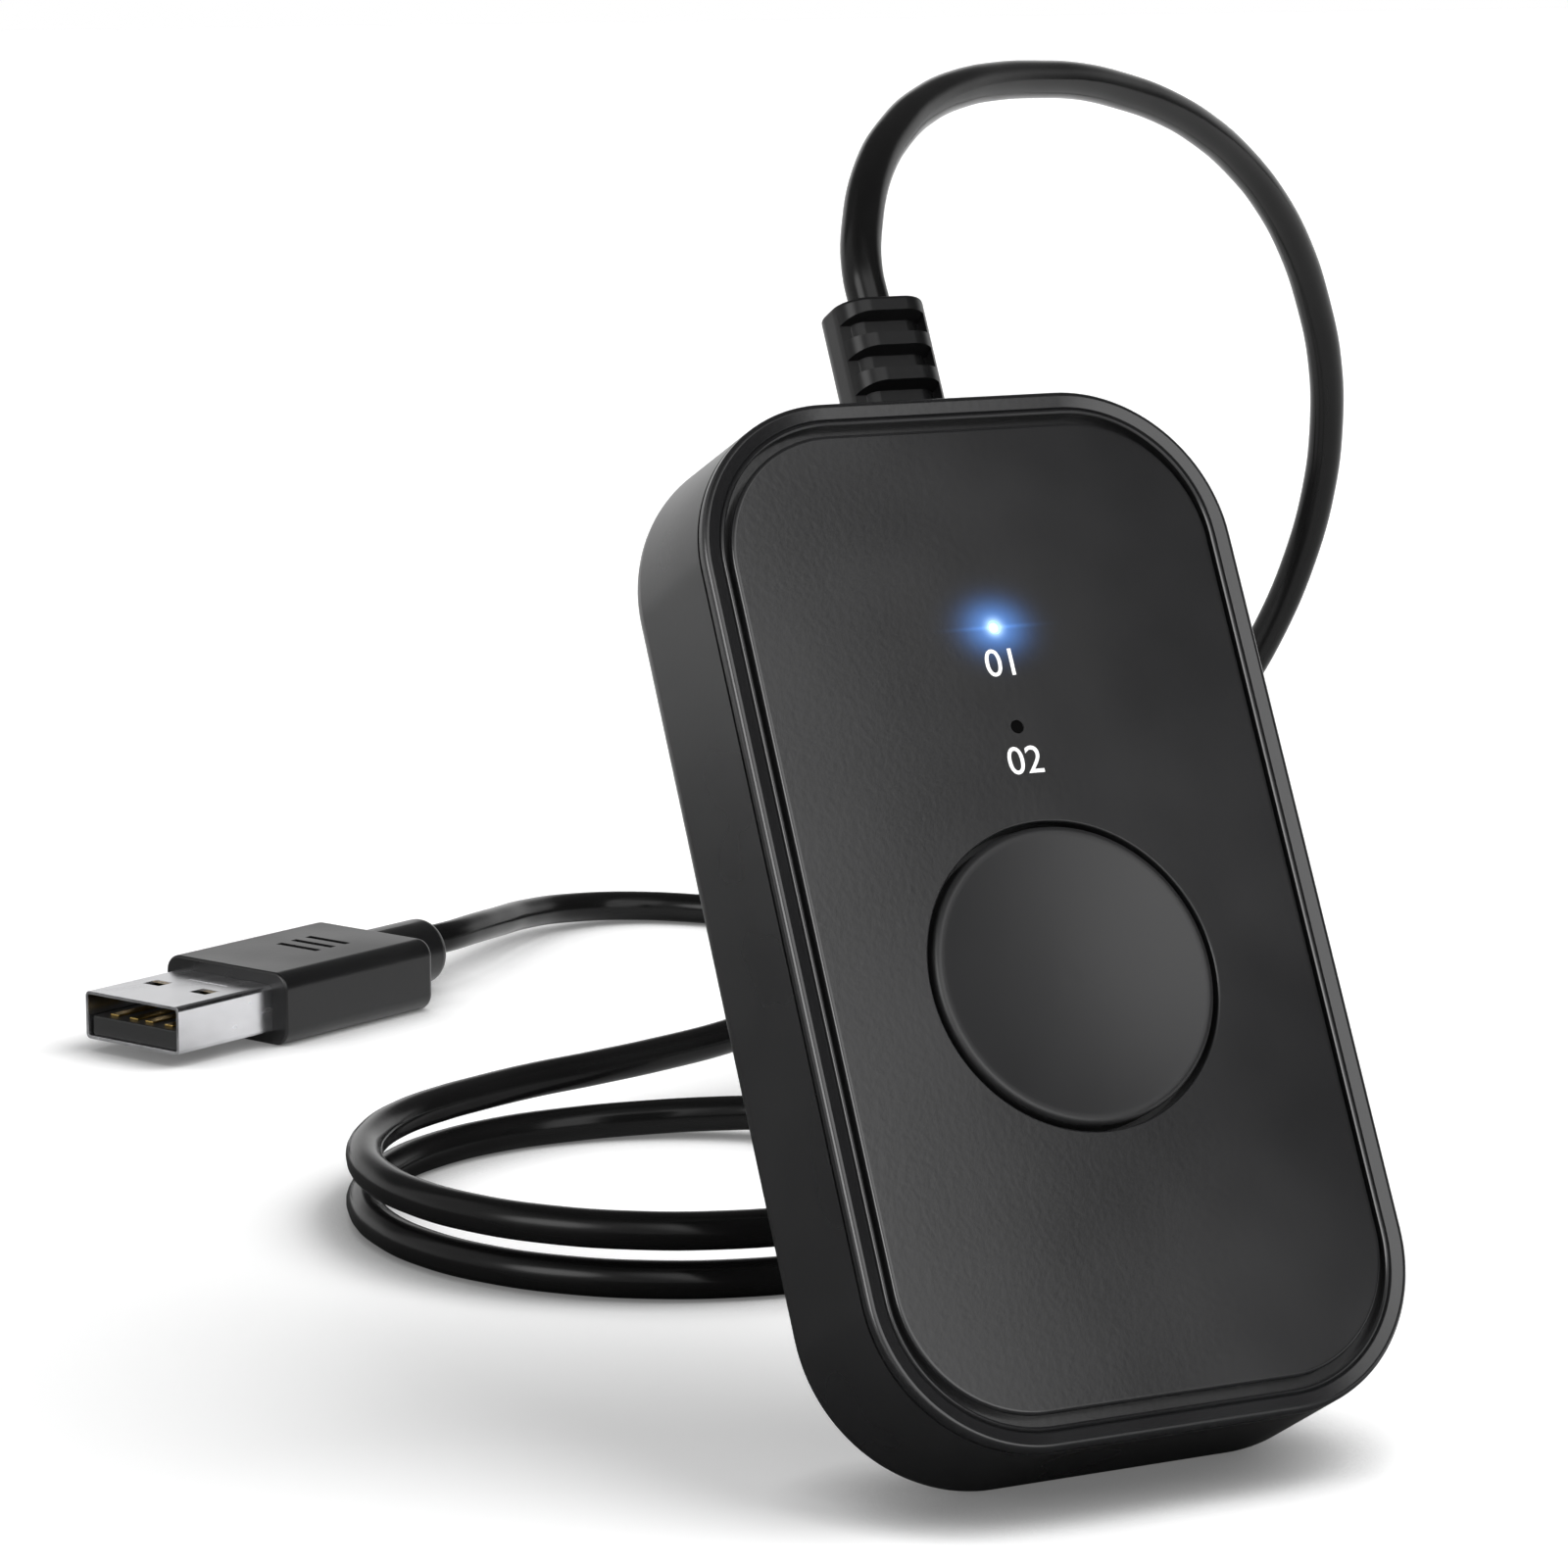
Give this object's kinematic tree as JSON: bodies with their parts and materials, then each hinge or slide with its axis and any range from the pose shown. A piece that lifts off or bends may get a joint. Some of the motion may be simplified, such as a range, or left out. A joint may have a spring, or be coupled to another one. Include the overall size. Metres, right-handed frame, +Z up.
{
  "type": "mouse jiggler",
  "caption": "Small leaning desk box with a round sprung push button and two status lamps, on a captive cord that loops on the desk and ends in a USB type A plug.",
  "frame": {"origin": "on the desk, under the middle of the leaning case with its strain relief, without the free cord and its plug", "axes": "+Z up; +X along the width of the case; the case leans back towards +Y, so its face looks towards -Y and up"},
  "size_m": [0.1045, 0.1943, 0.0929],
  "materials": {
    "case_plastic": "fine matte texture",
    "frame_plastic": "satin",
    "panel_plastic": "satin",
    "button_plastic": "satin",
    "foot_rubber": "matte",
    "boot_rubber": "satin",
    "cord_jacket": "semi-gloss vinyl",
    "grip_plastic": "satin",
    "shell_steel": "nickel plated",
    "tongue_plastic": "matte",
    "contact_gold": "gold plated",
    "board_laminate": "solder mask",
    "chip_resin": "matte",
    "small_parts": "matte",
    "zinc_steel": "zinc plated",
    "spring_steel": "plain",
    "blue_lamp": "lit",
    "white_lamp": "unlit",
    "light_pipe": "clear",
    "white_plastic": "matte",
    "red_wire": "semi-gloss",
    "white_wire": "semi-gloss",
    "green_wire": "semi-gloss",
    "black_wire": "semi-gloss"
  },
  "bodies": {
    "root": {"back_shell": "case_plastic", "front_frame": "frame_plastic", "front_panel": "panel_plastic", "switch_base": "chip_resin", "switch_cover": "zinc_steel", "switch_dome": "spring_steel", "circuit_board": "board_laminate", "controller_chip": "chip_resin", "board_parts": "small_parts", "upper_lamp": "blue_lamp", "lower_lamp": "white_lamp", "upper_light_pipe": "light_pipe", "lower_light_pipe": "light_pipe", "board_screws": "zinc_steel", "case_screws": "zinc_steel", "rubber_feet": "foot_rubber", "strain_relief": "boot_rubber", "cable_tie": "white_plastic", "cord_inner": "cord_jacket", "wire_header": "white_plastic", "wire_housing": "white_plastic", "red_wire": "red_wire", "white_wire": "white_wire", "green_wire": "green_wire", "black_wire": "black_wire", "cord_riser": "cord_jacket", "cord_loops": "cord_jacket", "cord_tail": "cord_jacket", "plug_grip": "grip_plastic", "plug_shell": "shell_steel", "plug_tongue": "tongue_plastic", "plug_contacts": "contact_gold"},
    "button": {"button_cap": "button_plastic"},
    "plunger": {"switch_plunger": "chip_resin"}
  },
  "joints": [
    {"name": "button_press", "type": "slide", "parent": "root", "child": "button", "axis": [0, 0.8854, -0.4648], "range_m": [0, 0.0004], "stiffness_N_per_m": 2500, "springref_m": -0.0002},
    {"name": "plunger_press", "type": "slide", "parent": "root", "child": "plunger", "axis": [0, 0.8854, -0.4648], "range_m": [0, 0.0004]}
  ],
  "couplings": [
    {"joint": "plunger_press", "follows": "button_press", "ratio": 1}
  ]
}
